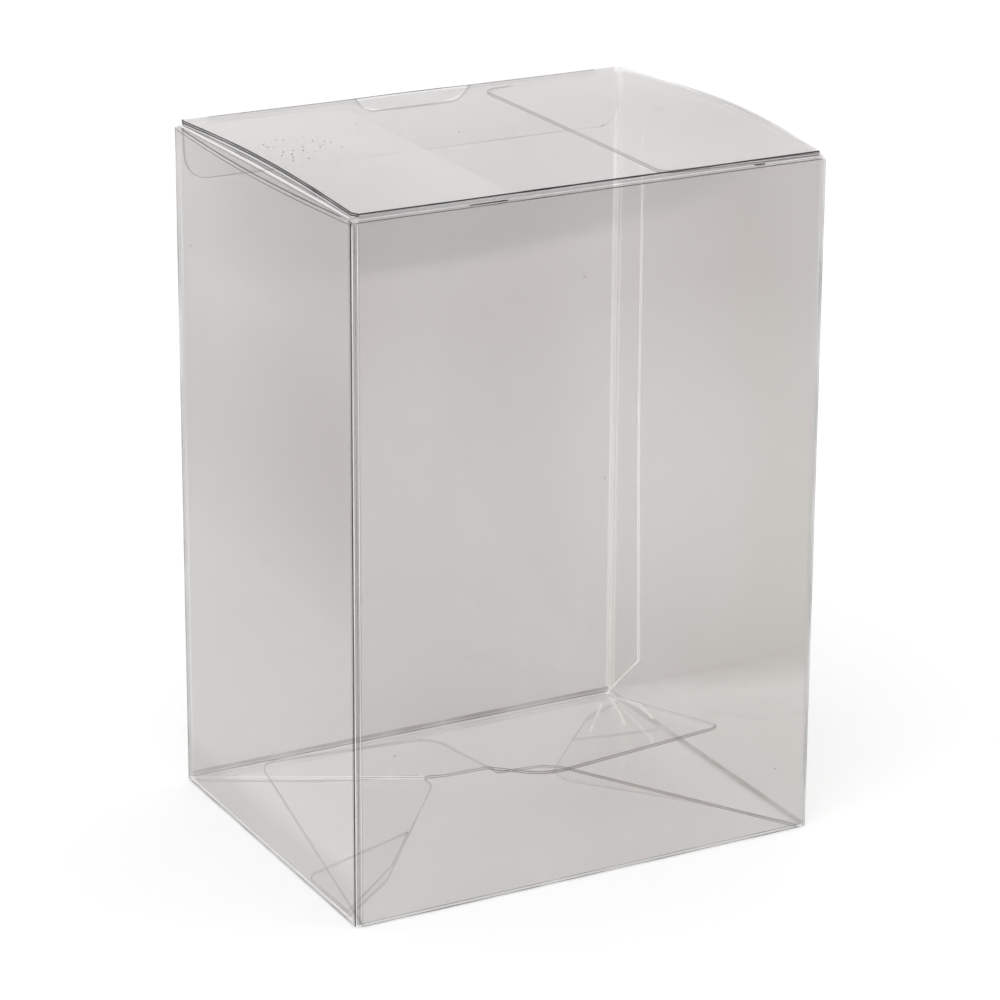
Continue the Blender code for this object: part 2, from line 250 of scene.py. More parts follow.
def build_step():
    """A tone that turns across a slanted line, as where the reflection of the floor ends on a wall."""
    group, tree, given, made = new_group(
        "slanted tone step",
        [
            ("Position", VECTOR, None),
            ("Height", FLOAT, 20.0 * MM),
            ("Slant", FLOAT, -0.43),
            ("Below", FLOAT, 1.0),
            ("Above", FLOAT, 1.0),
        ],
        [("Share", FLOAT)],
    )
    place = tree.add("ShaderNodeSeparateXYZ", {0: given.outputs["Position"]})
    edge = tree.math("MULTIPLY", place.outputs["Y"], given.outputs["Slant"])
    edge = tree.math("ADD", edge, given.outputs["Height"])
    over = tree.math("SUBTRACT", place.outputs["Z"], edge)
    turn = tree.add(
        "ShaderNodeMapRange",
        {"Value": over, "From Min": -5.0 * MM, "From Max": 4.0 * MM},
        interpolation_type="SMOOTHSTEP",
    )
    fade = tree.add(
        "ShaderNodeMapRange",
        {"Value": over, "From Min": 4.0 * MM, "From Max": 34.0 * MM, "To Min": given.outputs["Above"]},
        interpolation_type="SMOOTHSTEP",
    )
    share = {0: turn.outputs[0], 2: given.outputs["Below"], 3: fade.outputs[0]}
    mixed = tree.add("ShaderNodeMix", share, data_type="FLOAT")
    tree.link(mixed.outputs[0], made.inputs["Share"])
    return group


def build_marks():
    """Small dull marks where the film was handled."""
    group, tree, given, made = new_group(
        "handling marks",
        [("Position", VECTOR, None), ("Density", FLOAT, 220.0), ("Share", FLOAT, 0.1)],
        [("Mark", FLOAT)],
    )
    cells = tree.add(
        "ShaderNodeTexVoronoi", {"Vector": given.outputs["Position"], "Scale": given.outputs["Density"]}
    )
    near = tree.math("LESS_THAN", cells.outputs["Distance"], 0.06)
    chosen = tree.add("ShaderNodeSeparateColor", {0: cells.outputs["Color"]})
    picked = tree.math("LESS_THAN", chosen.outputs[0], given.outputs["Share"])
    tree.link(tree.math("MULTIPLY", near, picked), made.inputs["Mark"])
    return group


def build_ripple():
    """The slow waviness of a thin sheet."""
    group, tree, given, made = new_group(
        "sheet ripple",
        [("Position", VECTOR, None), ("Size", FLOAT, 30.0)],
        [("Height", FLOAT)],
    )
    place, size = given.outputs["Position"], given.outputs["Size"]
    waves = tree.add("ShaderNodeTexNoise", {"Vector": place, "Scale": size, "Detail": 0.0})
    tree.link(waves.outputs[0], made.inputs["Height"])
    return group


haze_group = build_haze()
painted_shade_group = build_band()
step_group = build_step()
marks_group = build_marks()
ripple_group = build_ripple()


def group_node(tree, group, inputs):
    node = tree.add("ShaderNodeGroup")
    node.node_tree = group
    for key, value in inputs.items():
        if isinstance(value, bpy.types.NodeSocket):
            tree.link(value, node.inputs[key])
        else:
            node.inputs[key].default_value = value
    return node


def new_material(name):
    material = bpy.data.materials.new(name)
    material.use_nodes = True
    material.node_tree.nodes.clear()
    tree = Tree(material.node_tree)
    out = tree.add("ShaderNodeOutputMaterial")
    return material, tree, out


# Colour of the handling marks, and of the painted shade that the band masks lay on the film
DULL_MARK_AND_SHADE = (116, 110, 104)


def film_material(
    name,
    cool,
    warm,
    haze,
    band=None,
    band_cover=0.05,
    step=None,
    gloss=STRAIGHT_GLOSS,
    glancing=GLANCING_GLOSS,
):
    """Clear film, with a thin veil on each of its two faces and a mirror on the outer one. The veil carries
    painted reflection tones from the haze, and painted shade where a band is given.
    """
    material, tree, out = new_material(name)
    place = tree.add("ShaderNodeTexCoord").outputs["Object"]
    cloudy = group_node(tree, haze_group, {"Position": place, **haze})
    # Painted shade of the band mask, standing for dark reflections on the film
    shade = group_node(tree, painted_shade_group, {"Position": place, **(band or {})})
    marks = group_node(tree, marks_group, {"Position": place, "Share": 0.02})
    ripple = group_node(tree, ripple_group, {"Position": place})
    bump = {"Strength": WAVE_STRENGTH, "Distance": WAVE_DEPTH, "Height": ripple.outputs[0]}
    wave = tree.add("ShaderNodeBump", bump)
    colour = tree.add("ShaderNodeMix", {0: cloudy.outputs["Cloud"], 6: cool, 7: warm}, data_type="RGBA")
    # Handling marks and painted shade both turn the veil dull and thicker
    dim = tree.math("MAXIMUM", marks.outputs[0], shade.outputs[0])
    dull = srgb(*DULL_MARK_AND_SHADE)
    shown = tree.add("ShaderNodeMix", {0: dim, 6: colour.outputs[2], 7: dull}, data_type="RGBA")
    cover = tree.math("ADD", cloudy.outputs["Cover"], tree.math("MULTIPLY", dim, band_cover))
    if step is not None:
        turned = group_node(tree, step_group, {"Position": place, **step})
        cover = tree.math("MULTIPLY", cover, turned.outputs["Share"])
    veil = tree.add(
        "ShaderNodeBsdfPrincipled",
        {
            "Base Color": shown.outputs[2],
            "Alpha": cover,
            "Roughness": VEIL_ROUGHNESS,
            "Normal": wave.outputs[0],
        },
    )
    mirror = tree.add("ShaderNodeBsdfGlossy", {"Color": (1, 1, 1, 1), "Roughness": MIRROR_ROUGHNESS})
    tree.link(wave.outputs[0], mirror.inputs["Normal"])
    facing = tree.add("ShaderNodeLayerWeight", {"Blend": 0.5}).outputs["Facing"]
    glance = tree.math("MULTIPLY", tree.math("POWER", facing, 4.0), glancing)
    outer = tree.math("SUBTRACT", 1.0, tree.add("ShaderNodeNewGeometry").outputs["Backfacing"])
    share = tree.math("MULTIPLY", tree.math("ADD", glance, gloss, clamp=True), outer)
    sheet = tree.add("ShaderNodeMixShader", {0: share, 1: veil.outputs[0], 2: mirror.outputs[0]})
    tree.link(sheet.outputs[0], out.inputs[0])
    return material


def line_material(name, colour, low, high, glow=0.0):
    """A cut or creased line of the film, stronger and weaker along its length. Its colour is painted shade,
    or with glow a painted highlight.
    """
    material, tree, out = new_material(name)
    place = tree.add("ShaderNodeTexCoord").outputs["Object"]
    haze = group_node(tree, haze_group, {"Position": place, "Size": 70.0, "Low": low, "High": high})
    look = {
        "Base Color": colour,
        "Alpha": haze.outputs["Cover"],
        "Roughness": VEIL_ROUGHNESS,
        "Emission Color": colour,
        "Emission Strength": glow,
    }
    solid = tree.add("ShaderNodeBsdfPrincipled", look)
    tree.link(solid.outputs[0], out.inputs[0])
    return material


# Walls, each a copy of the film with its own tone and cover that paint the light and shade it shows.
# The front one carries a painted shade under the lid, the sides a painted reflection step above the floor;
# the foot and waist levels of the haze are painted reflection bands
front_film = film_material(
    "front wall film",
    srgb(171, 158, 154),
    srgb(175, 161, 152),
    {"Low": 0.235, "High": 0.285, "Foot Height": 0.05, "Foot Share": 0.74, "Waist Dip": 0.46},
    band={"Strength": 0.5},
)
left_film = film_material(
    "left wall film",
    srgb(155, 142, 138),
    srgb(159, 146, 139),
    {
        "Low": 0.29,
        "High": 0.33,
        "Foot Height": 0.11,
        "Foot Share": 0.38,
        "Waist Dip": -0.38,
        "Waist Height": 0.61 * HEIGHT,
        "Waist Reach": 0.20 * HEIGHT,
    },
    step={"Height": 11.0 * MM, "Slant": 0.0, "Below": 2.2, "Above": 1.0},
)
wall_cool, wall_warm = srgb(168, 155, 150), srgb(174, 161, 148)
back_haze = {"Low": 0.25, "High": 0.31, "Foot Height": 0.05, "Foot Share": 0.90}
# Painted shade high on the back wall, standing for a dark reflection seen through the lid
back_band = {"Start": 5.0 * MM, "Reach": 75.0 * MM, "Top": 136.0 * MM, "Depth": 19.0 * MM}
back_band.update({"Core": 0.3, "Rim": 1.3, "Strength": 0.8})
back_film = film_material("back wall film", wall_cool, wall_warm, back_haze, band=back_band)
right_film = film_material(
    "right wall film",
    wall_cool,
    srgb(174, 164, 140),
    {"Low": 0.27, "High": 0.32, "Waist Dip": 0.08},
    step={"Below": 0.48, "Above": 1.04},
    glancing=0.45,
)

# Folded bottom, in a paler and clearer copy of the film, painted lighter so the stacked sheets stay bright
flap_cool, flap_warm = srgb(236, 226, 222), srgb(238, 228, 220)
flap_film = film_material("bottom flap film", flap_cool, flap_warm, {"Low": 0.03, "High": 0.05}, gloss=0.03)
tab_film = film_material("folded tab film", flap_cool, flap_warm, {"Low": 0.03, "High": 0.05}, gloss=0.02)

# Lid and the flaps below it, each in its own copy of the film: the lid darker, the dust and tuck flaps
# paler, as painted light and shade
lid_cool, lid_warm = srgb(160, 143, 138), srgb(164, 147, 136)
lid_haze = {"Low": 0.16, "High": 0.21}
lid_film = film_material("lid film", lid_cool, lid_warm, lid_haze, gloss=0.05, glancing=0.75)
pale_cool, pale_warm = srgb(254, 246, 243), srgb(254, 246, 240)
left_haze = {"Low": 0.10, "High": 0.15}
left_dust_film = film_material("left dust flap film", pale_cool, pale_warm, left_haze, gloss=0.33)
# Painted shade along the right dust flap's bowed edge, where it shows beside the lid
right_dust_film = film_material(
    "right dust flap film",
    pale_cool,
    pale_warm,
    {"Low": 0.10, "High": 0.14},
    band={"Start": 62.5 * MM, "Reach": 5.4 * MM, "Depth": 50 * MM, "Strength": 1.0},
    band_cover=0.22,
    gloss=0.12,
    glancing=0.3,
)
# Painted shade round the thumb notch of the tuck flap
notch_band = {"Start": 1.5 * MM, "Reach": 17.0 * MM, "Top": 162.6 * MM, "Depth": 4.7 * MM}
tuck_film = film_material(
    "tuck flap film",
    pale_cool,
    pale_warm,
    {"Low": 0.11, "High": 0.15},
    band={**notch_band, "Core": 0.82, "Rim": 1.0, "Strength": 0.75},
    band_cover=0.20,
    gloss=0.11,
)

# Creases and cut rims, in darker copies of the film: painted shade where the sheet turns and at its cut
# edges
edge_cool, edge_warm = srgb(122, 117, 116), srgb(126, 122, 116)
crease_film = film_material("creased film", edge_cool, edge_warm, {"Low": 0.24, "High": 0.42}, glancing=0.2)
foot_cool, foot_warm = srgb(154, 158, 152), srgb(162, 160, 152)
foot_haze = {"Low": 0.13, "High": 0.22}
foot_film = film_material("soft creased film", foot_cool, foot_warm, foot_haze, glancing=0.2)
rim_film = film_material("cut rim film", edge_cool, edge_warm, {"Low": 0.10, "High": 0.22}, glancing=0.3)

# Lines, from dark to bright, and dust: the dark lines are painted shade, the glowing ones painted highlights
dark_line = line_material("dark line", srgb(26, 26, 28), 0.70, 1.0)
floor_line = line_material("floor line", srgb(52, 54, 54), 0.42, 0.70)
grey_line = line_material("grey line", srgb(60, 59, 60), 0.45, 0.80)
mist_line = line_material("mist line", srgb(134, 139, 134), 0.14, 0.30)
faint_line = line_material("faint line", srgb(84, 81, 80), 0.16, 0.36)
light_line = line_material("light line", srgb(254, 253, 252), 0.60, 1.0, glow=0.45)
pale_line = line_material("pale line", srgb(246, 245, 242), 0.30, 0.62, glow=0.38)
soft_light = line_material("soft light line", srgb(254, 253, 252), 0.16, 0.34, glow=0.40)
speck_grey = line_material("dust speck", srgb(74, 71, 68), 0.60, 1.0)


# The film


def smooth_copy(node, name, sort_face, slots):
    """A welded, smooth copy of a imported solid, with each face's material chosen by sort_face."""
    mesh = nodes[node].data.copy()
    mesh.name = name
    work = bmesh.new()
    work.from_mesh(mesh)
    bmesh.ops.remove_doubles(work, verts=work.verts[:], dist=WELD)
    work.to_mesh(mesh)
    work.free()
    mesh.materials.clear()
    for material in slots:
        mesh.materials.append(material)
    for face in mesh.polygons:
        face.material_index = slots.index(sort_face(face.center, face.normal))
    mesh.shade_smooth()
    mesh.set_sharp_from_angle(angle=SHADING_BREAK)
    piece = bpy.data.objects.new(name, mesh)
    scene.collection.objects.link(piece)
    weigh = piece.modifiers.new("even normals", "WEIGHTED_NORMAL")
    weigh.keep_sharp = True
    weigh.weight = 100
    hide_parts(node)
    return piece


def box_face(middle, normal):
    """The finish of a face of the box, told from where it lies and which way it looks."""
    x, y, z = middle
    side = abs(x) > HALF_WIDTH - CREASE_ZONE
    face = abs(y) > HALF_DEPTH - CREASE_ZONE
    if z > WALL_TOP - DUST_FLAP_ZONE and abs(normal.z) > SQUARE and not face:
        return left_dust_film if x < 0 else right_dust_film
    if side and face:
        return crease_film if x < 0 and y < 0 else foot_film
    inside = abs(x) < HALF_WIDTH - INSIDE_WALLS and abs(y) < HALF_DEPTH - INSIDE_WALLS
    if z < BOTTOM_TOP and inside:
        if abs(normal.z) > SQUARE:
            return flap_film if abs(normal.y) > abs(normal.x) else tab_film
        return rim_film
    if z < BOTTOM_CREASE_TOP:
        return foot_film
    if z > WALL_TOP - DUST_FLAP_ZONE and inside:
        return rim_film
    if z > WALL_TOP and abs(normal.z) > 0.2:
        return crease_film if side else rim_film
    if face and abs(normal.y) < 0.5:
        return rim_film
    if side and abs(normal.x) < 0.5:
        return rim_film
    if y < -HALF_DEPTH + CREASE_ZONE:
        return front_film
    if side:
        return left_film if x < 0 else right_film
    return back_film


def lid_face(middle, normal):
    """The finish of a face of the lid or its tuck flap."""
    x, y, z = middle
    if y < -HALF_DEPTH + 1.0 * MM:
        return crease_film
    if y > HALF_DEPTH - 4.0 * MM and z < HEIGHT - 1.0 * MM:
        return tuck_film if abs(normal.y) > 0.7 else rim_film
    if y > HALF_DEPTH - 1.6 * MM:
        return crease_film
    return rim_film if abs(normal.z) < 0.6 else lid_film


box_slots = [front_film, left_film, back_film, right_film]
box_slots += [flap_film, tab_film, left_dust_film, right_dust_film, crease_film, foot_film, rim_film]
box_piece = smooth_copy("box", "box_film", box_face, box_slots)
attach(box_piece, "box_body")
lid_piece = smooth_copy("lid", "lid_film", lid_face, [lid_film, tuck_film, crease_film, rim_film])
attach(lid_piece, "lid_body")


# Lines along the cut edges and the creases


def build_line_tree():
    """Tubes along loose edges, a little thicker and thinner as they go."""
    group = bpy.data.node_groups.new("edge line", "GeometryNodeTree")
    group.interface.new_socket("Edges", in_out="INPUT", socket_type="NodeSocketGeometry")
    group.interface.new_socket("Radius", in_out="INPUT", socket_type="NodeSocketFloat")
    group.interface.new_socket("Variation", in_out="INPUT", socket_type="NodeSocketFloat")
    group.interface.new_socket("Finish", in_out="INPUT", socket_type="NodeSocketMaterial")
    group.interface.new_socket("Line", in_out="OUTPUT", socket_type="NodeSocketGeometry")
    tree = Tree(group)
    given = tree.add("NodeGroupInput")
    made = tree.add("NodeGroupOutput")
    path = tree.add("GeometryNodeMeshToCurve", {0: given.outputs["Edges"]})
    uneven = tree.add("ShaderNodeTexNoise", {"Scale": 140.0, "Detail": 1.0})
    spread = tree.math("MULTIPLY", tree.math("SUBTRACT", uneven.outputs[0], 0.5), given.outputs["Variation"])
    girth = tree.math("MULTIPLY", tree.math("ADD", 1.0, spread), given.outputs["Radius"])
    ring = tree.add("GeometryNodeCurvePrimitiveCircle", {"Resolution": 6, "Radius": 1.0})
    tube = tree.add(
        "GeometryNodeCurveToMesh",
        {"Curve": path.outputs[0], "Profile Curve": ring.outputs[0], "Scale": girth, "Fill Caps": True},
    )
    smooth = tree.add("GeometryNodeSetShadeSmooth", {0: tube.outputs[0]})
    whole = tree.add("GeometryNodeRealizeInstances", {0: smooth.outputs[0]})
    finish = tree.add(
        "GeometryNodeSetMaterial", {"Geometry": whole.outputs[0], "Material": given.outputs["Finish"]}
    )
    tree.link(finish.outputs[0], made.inputs[0])
    return group


line_tree = build_line_tree()


def grow(name, base, group, values, body):
    """Run a Geometry Nodes tree on a mesh and keep the result as a plain piece of a body."""
    seed = bpy.data.objects.new(name + "_base", base)
    scene.collection.objects.link(seed)
    modifier = seed.modifiers.new(name, "NODES")
    modifier.node_group = group
    for item in group.interface.items_tree:
        if item.in_out == "INPUT" and item.name in values:
            modifier[item.identifier] = values[item.name]
    shown = seed.evaluated_get(bpy.context.evaluated_depsgraph_get())
    mesh = bpy.data.meshes.new_from_object(shown)
    mesh.name = name
    seed.modifiers.remove(modifier)
    bpy.data.objects.remove(seed)
    piece = bpy.data.objects.new(name, mesh)
    scene.collection.objects.link(piece)
    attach(piece, body)


def edge_mesh(name, segments):
    """Loose edges between pairs of points, welded where they meet."""
    mesh = bpy.data.meshes.new(name)
    work = bmesh.new()
    for first, second in segments:
        work.edges.new((work.verts.new(first), work.verts.new(second)))
    bmesh.ops.remove_doubles(work, verts=work.verts[:], dist=LINE_WELD)
    work.to_mesh(mesh)
    work.free()
    return mesh


def sharp_edges(node):
    """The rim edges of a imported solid: two ends, and the upward normal of the flatter face beside it."""
    work = bmesh.new()
    work.from_mesh(nodes[node].data)
    bmesh.ops.remove_doubles(work, verts=work.verts[:], dist=WELD)
    found = []
    for edge in work.edges:
        if len(edge.link_faces) == 2 and edge.calc_face_angle() > CUT_EDGE:
            flat = max((face.normal for face in edge.link_faces), key=lambda normal: abs(normal.z))
            up = flat.copy() if flat.z > 0 else -flat
            found.append((edge.verts[0].co.copy(), edge.verts[1].co.copy(), up))
    work.free()
    return found


def bottom_edge_kind(x, y, up):
    """Which painted line a cut edge of the folded bottom shows, dark shade or a glowing highlight, told from
    the tilt of its flap.
    """
    if abs(up.x) > 0.1:
        return "faint"
    if abs(up.x) > 0.03:
        return "faint" if x < 0 or y > 3 * MM else "floor"
    from_front = up.y < 0
    if from_front and y > 1.0 * MM:
        return "faint"
    if abs(x) < 14 * MM or from_front:
        return "floor"
    return "light"


# Where the glue flap's cut edge lies, and the thumb notch
GLUE_FLAP_FRONT = 25.0 * MM
GLUE_FLAP_LOW, GLUE_FLAP_HIGH = 1.8 * MM, WALL_TOP - 8.0 * MM
NOTCH_HALF = 19.0 * MM
NOTCH_LOW, NOTCH_HIGH = 155.0 * MM, 161.4 * MM


def box_edge_kind(middle, up):
    """Which painted line, dark shade or glowing highlight, a cut edge of the box shows: the glue flap,
    bottom, dust flaps and thumb notch in turn.
    """
    x, y, z = middle
    inside = abs(x) < HALF_WIDTH - 1.0 * MM and abs(y) < HALF_DEPTH - 1.0 * MM
    if x > HALF_WIDTH - 1.6 * MM and y > GLUE_FLAP_FRONT and GLUE_FLAP_LOW < z < WALL_TOP - 2.0 * MM:
        if y > HALF_DEPTH - 1.5 * MM or z > GLUE_FLAP_HIGH:
            return None
        return "light" if z < BEHIND_LID else "dim"
    if z < BOTTOM_TOP:
        right_under = up.x < -0.1 or (up.x > 0.1 and y < -4 * MM)
        return bottom_edge_kind(x, y, up) if inside and not (right_under and x > 0) else None
    if inside and z > WALL_TOP - 1.0 * MM and y < HALF_DEPTH - 4.0 * MM:
        return "plain" if x > 0 else None
    if y > HALF_DEPTH - 1.0 * MM and abs(x) < NOTCH_HALF and NOTCH_LOW < z < NOTCH_HIGH:
        return "soft"
    return None


def lid_edge_kind(middle, up):
    """Which painted line a cut edge of the lid shows: the tuck flap's are soft grey, the lid's left side is
    bold dark shade, its right side a dim painted highlight.
    """
    x, y, z = middle
    if z < HEIGHT - 2.0 * MM:
        return "soft" if x < 0 else "faint"
    if abs(x) > HALF_WIDTH - 1.6 * MM:
        return "bold" if x < 0 else "dim"
    return None


# Kinds of line, each a radius and a finish: the dark ones painted shade, 'light' and 'dim' painted
# highlights that glow
LINES = {
    "floor": (PLAIN_LINE, floor_line),
    "bold": (BOLD_LINE, dark_line),
    "plain": (PLAIN_LINE, dark_line),
    "soft": (PLAIN_LINE, grey_line),
    "faint": (THIN_LINE, faint_line),
    "light": (PLAIN_LINE, light_line),
    "dim": (PLAIN_LINE, soft_light),
}


def lay_edge_lines(node, kind_of):
    sorted_edges = {}
    for first, second, up in sharp_edges(node):
        kind = kind_of((first + second) / 2, up)
        if kind is not None:
            sorted_edges.setdefault(kind, []).append((first, second))
    for kind, segments in sorted_edges.items():
        radius, finish = LINES[kind]
        base = edge_mesh(node + kind, segments)
        values = {"Radius": radius, "Variation": CUT_EDGE_VARIATION, "Finish": finish}
        grow(node + "_" + kind + "_cut_edges", base, line_tree, values, BODIES[node])


lay_edge_lines("box", box_edge_kind)
lay_edge_lines("lid", lid_edge_kind)


def surface_of(node):
    """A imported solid's faces, to lay lines on by casting towards them."""
    mesh = nodes[node].data
    places = [vertex.co for vertex in mesh.vertices]
    return BVHTree.FromPolygons(places, [tuple(face.vertices) for face in mesh.polygons])


SURFACES = {"box": surface_of("box"), "lid": surface_of("lid")}
CAST = 20.0 * MM


def along(points, parts):
    """Points in equal steps along a run of straight pieces."""
    found = []
    for start, end in zip(points, points[1:]):
        first, last = Vector(start), Vector(end)
        found += [first.lerp(last, index / parts) for index in range(parts)]
    return found + [Vector(points[-1])]


def laid(points, node, toward):
    """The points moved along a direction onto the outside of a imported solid."""
    direction = Vector(toward)
    found = []
    for point in points:
        hit = SURFACES[node].ray_cast(point - direction * CAST, direction, 2 * CAST)[0]
        if hit is not None:
            found.append(hit)
    return found


def lay_lines(name, runs, radius, finish, node="box", toward=None, parts=24, variation=0.8):
    """Lines through runs of points, laid on the film where a direction is given."""
    segments = []
    for run in runs:
        points = along(run, parts)
        if toward is not None:
            points = laid(points, node, toward)
        segments += list(zip(points, points[1:]))
    values = {"Radius": radius, "Variation": variation, "Finish": finish}
    grow(name, edge_mesh(name, segments), line_tree, values, BODIES[node])


# Where the lines along the corners and creases start and end
FOOT = 0.3 * MM
END = 1.2 * MM


def upright(x, y, low=FOOT, high=WALL_TOP):
    """A run up a corner."""
    return [(x, y, low), (x, y, high)]


def crosswise(y, z, end=END):
    """A run along the width, short of both corners."""
    return [(LEFT + end, y, z), (RIGHT - end, y, z)]


def lengthwise(x, z, end=END):
    """A run along the depth, short of both corners."""
    return [(x, FRONT + end, z), (x, BACK - end, z)]


# The near corner's pressed crease, with painted shade on the left and painted highlights on the right
lay_lines("near_corner_dark", [upright(LEFT, FRONT + 0.85 * MM)], 0.13 * MM, dark_line)
lay_lines("near_corner_pale", [upright(LEFT + 0.05 * MM, FRONT + 0.2 * MM)], 0.08 * MM, pale_line)
lay_lines("near_corner_groove", [upright(LEFT + 0.6 * MM, FRONT + 0.02 * MM)], 0.06 * MM, faint_line)
lay_lines("near_corner_second_pale", [upright(LEFT + 1.2 * MM, FRONT)], 0.08 * MM, pale_line)

# The two corners at the sides of the view, with painted shade, and the far one with painted highlights that
# glow
side_corners = [upright(LEFT + 0.15 * MM, BACK - 0.15 * MM), upright(RIGHT - 0.15 * MM, FRONT + 0.15 * MM)]
lay_lines("side_corner_scores", side_corners, 0.10 * MM, faint_line)
side_shades = [upright(LEFT + 0.45 * MM, BACK - 0.35 * MM), upright(RIGHT - 0.45 * MM, FRONT + 0.35 * MM)]
lay_lines("side_corner_shades", side_shades, 0.40 * MM, mist_line)
far_corner = [upright(RIGHT - 0.7 * MM, BACK - 1.0 * MM, 1.5 * MM, BEHIND_LID)]
lay_lines("far_corner_bright", far_corner, 0.20 * MM, light_line)
lay_lines("far_corner_glow", far_corner, 0.60 * MM, pale_line)
far_corner_above = [upright(RIGHT - 0.7 * MM, BACK - 1.0 * MM, BEHIND_LID, WALL_TOP - 10 * MM)]
lay_lines("far_corner_above", far_corner_above, 0.45 * MM, soft_light)

# Creases round the foot, drawn as lines of painted shade, with a painted highlight on the left
lay_lines("front_foot_shade", [crosswise(FRONT + 0.1 * MM, 0.3 * MM)], 0.11 * MM, faint_line)
lay_lines("front_foot_groove", [crosswise(FRONT, 1.1 * MM)], 0.10 * MM, mist_line)
lay_lines("back_foot_dark", [crosswise(BACK - 0.6 * MM, 0.9 * MM)], 0.13 * MM, grey_line)
lay_lines("back_foot_shade", [crosswise(BACK - 0.5 * MM, 1.7 * MM)], 0.40 * MM, faint_line)
lay_lines("right_foot_shade", [lengthwise(RIGHT - 0.6 * MM, 0.9 * MM)], 0.45 * MM, mist_line)
lay_lines("left_foot_shade", [lengthwise(LEFT + 0.1 * MM, 0.3 * MM)], 0.18 * MM, mist_line)
lay_lines("left_foot_pale", [lengthwise(LEFT, 1.3 * MM)], 0.10 * MM, pale_line)

# Creases round the top, drawn as lines of painted shade, some laid on the bowed walls
to_right, to_left, to_floor = (1, 0, 0), (-1, 0, 0), (0, 0, -1)
lay_lines("front_top_groove", [crosswise(FRONT, WALL_TOP + 0.2 * MM)], 0.08 * MM, dark_line)
bold_parts = [(-30.5, -21.5, 160.9), (39.5, 42.0, 161.1)]
front_top_bold = [[(x * MM, FRONT, z * MM), (end * MM, FRONT, z * MM)] for x, end, z in bold_parts]
lay_lines("front_top_bold_parts", front_top_bold, 0.16 * MM, dark_line, parts=6)
left_top, left_bead = lengthwise(LEFT, WALL_TOP + 0.6 * MM), lengthwise(LEFT, WALL_TOP - 0.3 * MM)
lay_lines("left_top_groove", [left_top], 0.10 * MM, dark_line, toward=to_right)
lay_lines("left_top_bead", [left_bead], 0.07 * MM, grey_line, toward=to_right)
right_top = lengthwise(RIGHT, WALL_TOP + 0.8 * MM)
lay_lines("right_top_score", [right_top], 0.16 * MM, mist_line, toward=to_left)
hinge = crosswise(FRONT + 0.75 * MM, HEIGHT, 1.5 * MM)
lay_lines("lid_hinge_score", [hinge], 0.20 * MM, dark_line, node="lid")
lid_back = crosswise(BACK - 1.2 * MM, HEIGHT, 8 * MM)
lay_lines("lid_back_score", [lid_back], 0.10 * MM, grey_line, node="lid", toward=to_floor)

# The small opening where three creases meet at the near corner, ringed with a painted dark line
turns = [math.radians(30 * step) for step in range(13)]
ring = []
for turn in turns:
    ring.append((LEFT, FRONT + (0.9 + 0.6 * math.cos(turn)) * MM, WALL_TOP + 0.5 * MM * math.sin(turn)))
lay_lines("relief_rim", [ring], 0.08 * MM, dark_line, parts=1)

# Painted highlights: pale glowing streaks that fan out from the far corner over the right flaps, standing
# for reflections
fan = [
    [(54.0 * MM, 39.0 * MM, 18 * MM), (47.0 * MM, 22.0 * MM, 18 * MM), (41.0 * MM, 9.0 * MM, 18 * MM)],
    [(55.0 * MM, 35.6 * MM, 18 * MM), (53.6 * MM, 23.4 * MM, 18 * MM), (48.4 * MM, 8.7 * MM, 18 * MM)],
    [(50.0 * MM, 36.0 * MM, 18 * MM), (44.5 * MM, 28.0 * MM, 18 * MM), (33.0 * MM, 12.0 * MM, 18 * MM)],
]
lay_lines("far_flap_painted_highlights", fan, 0.42 * MM, pale_line, toward=to_floor, variation=1.4)


# Dust on the film


def build_dust_tree():
    """Tiny grains scattered over a surface, each turned and sized by chance."""
    group = bpy.data.node_groups.new("dust", "GeometryNodeTree")
    group.interface.new_socket("Surface", in_out="INPUT", socket_type="NodeSocketGeometry")
    group.interface.new_socket("Density", in_out="INPUT", socket_type="NodeSocketFloat")
    group.interface.new_socket("Grain", in_out="INPUT", socket_type="NodeSocketFloat")
    group.interface.new_socket("Seed", in_out="INPUT", socket_type="NodeSocketInt")
    group.interface.new_socket("Finish", in_out="INPUT", socket_type="NodeSocketMaterial")
    group.interface.new_socket("Dust", in_out="OUTPUT", socket_type="NodeSocketGeometry")
    tree = Tree(group)
    given = tree.add("NodeGroupInput")
    made = tree.add("NodeGroupOutput")
    surface, density, seed = (given.outputs[name] for name in ("Surface", "Density", "Seed"))
    spread = {"Mesh": surface, "Density": density, "Seed": seed}
    points = tree.add("GeometryNodeDistributePointsOnFaces", spread)
    grain = tree.add("GeometryNodeMeshIcoSphere", {"Radius": given.outputs["Grain"], "Subdivisions": 1})
    sizes = tree.add("FunctionNodeRandomValue", {2: 0.4, 3: 1.3, "Seed": seed}, data_type="FLOAT")
    placed = tree.add(
        "GeometryNodeInstanceOnPoints",
        {"Points": points.outputs[0], "Instance": grain.outputs[0], "Scale": sizes.outputs[1]},
    )
    whole = tree.add("GeometryNodeRealizeInstances", {0: placed.outputs[0]})
    finish = tree.add(
        "GeometryNodeSetMaterial", {"Geometry": whole.outputs[0], "Material": given.outputs["Finish"]}
    )
    tree.link(finish.outputs[0], made.inputs[0])
    return group


dust_tree = build_dust_tree()


